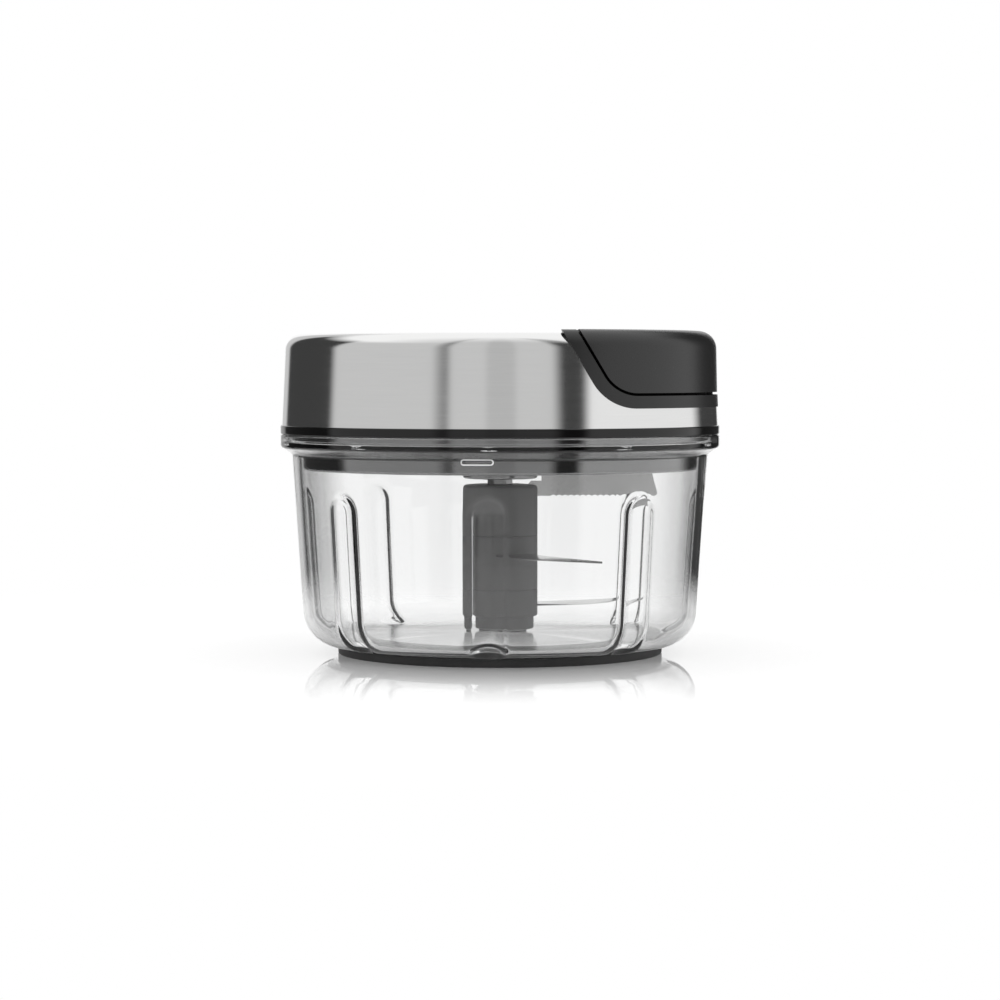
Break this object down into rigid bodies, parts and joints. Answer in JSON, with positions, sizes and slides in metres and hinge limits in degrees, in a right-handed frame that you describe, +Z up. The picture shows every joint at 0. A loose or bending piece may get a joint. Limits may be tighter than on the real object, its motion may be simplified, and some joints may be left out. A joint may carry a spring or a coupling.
{
  "type": "pull-cord food chopper",
  "caption": "Hand food chopper: clear fluted bowl, bladed sleeve on a pin, steel-clad lid with a cord drum, and a docked pull handle.",
  "frame": {"origin": "centre of the foot ring's underside, on the chopper's axis", "axes": "+Z up along the axis, +X the way that the handle is pulled"},
  "size_m": [0.133, 0.133, 0.0975],
  "materials": {
    "clear_plastic": "clear polished",
    "soft_ring": "soft matte",
    "steel": "bright",
    "sleeve_plastic": "satin moulded",
    "brass": "turned",
    "blade_steel": "ground",
    "black_gloss": "polished black",
    "seal_rubber": "soft",
    "black_matte": "moulded",
    "brushed_cover": "fine brushed round the lid",
    "trim_black": "satin moulded",
    "eyelet": "polished",
    "mechanism_plastic": "natural moulded",
    "cord": "braided",
    "handle_black": "fine satin"
  },
  "bodies": {
    "bowl": {"bowl": "clear_plastic", "base_ring": "soft_ring", "pivot_pin": "steel"},
    "blades": {"sleeve_core": "sleeve_plastic", "blade_sleeve_upper": "sleeve_plastic", "blade_sleeve_middle": "sleeve_plastic", "blade_sleeve_lower": "sleeve_plastic", "sleeve_bush": "brass", "top_wing_blade": "blade_steel", "middle_blade": "blade_steel", "lower_blade": "blade_steel"},
    "lid": {"lid_base": "black_gloss", "lid_seal": "seal_rubber", "lower_bush": "brass", "spindle_seal": "seal_rubber", "housing_screws": "steel", "lid_housing": "black_matte", "lid_cover": "brushed_cover", "upper_bush": "brass", "handle_dock": "trim_black", "cord_eyelet": "eyelet", "spring_housing": "mechanism_plastic", "recoil_spring": "blade_steel", "cord_run": "cord"},
    "drum": {"cord_drum": "mechanism_plastic", "cord_winding": "cord", "drive_spindle": "black_gloss", "retaining_clip": "steel"},
    "handle": {"handle_shell": "handle_black", "handle_back": "trim_black", "handle_screws": "steel", "cord_anchor": "mechanism_plastic", "cord_tail": "cord"}
  },
  "joints": [
    {"name": "lid_lift", "type": "slide", "parent": "bowl", "child": "lid", "axis": [0, 0, 1], "range_m": [0, 0.12]},
    {"name": "handle_pull", "type": "slide", "parent": "lid", "child": "handle", "axis": [1, 0, 0], "range_m": [0, 0.45], "stiffness_N_per_m": 10, "springref_m": -0.5},
    {"name": "drum_spin", "type": "hinge", "parent": "lid", "child": "drum", "pos_m": [0, 0, 0.0848], "axis": [0, 0, 1], "range_deg": [-1, 1750]},
    {"name": "blade_spin", "type": "hinge", "parent": "bowl", "child": "blades", "pos_m": [0, 0, 0.0061], "axis": [0, 0, 1], "range_deg": [-1, 1750]}
  ],
  "couplings": [
    {"joint": "drum_spin", "follows": "handle_pull", "rad_per_m": 67.57},
    {"joint": "blade_spin", "follows": "handle_pull", "rad_per_m": 67.57}
  ]
}
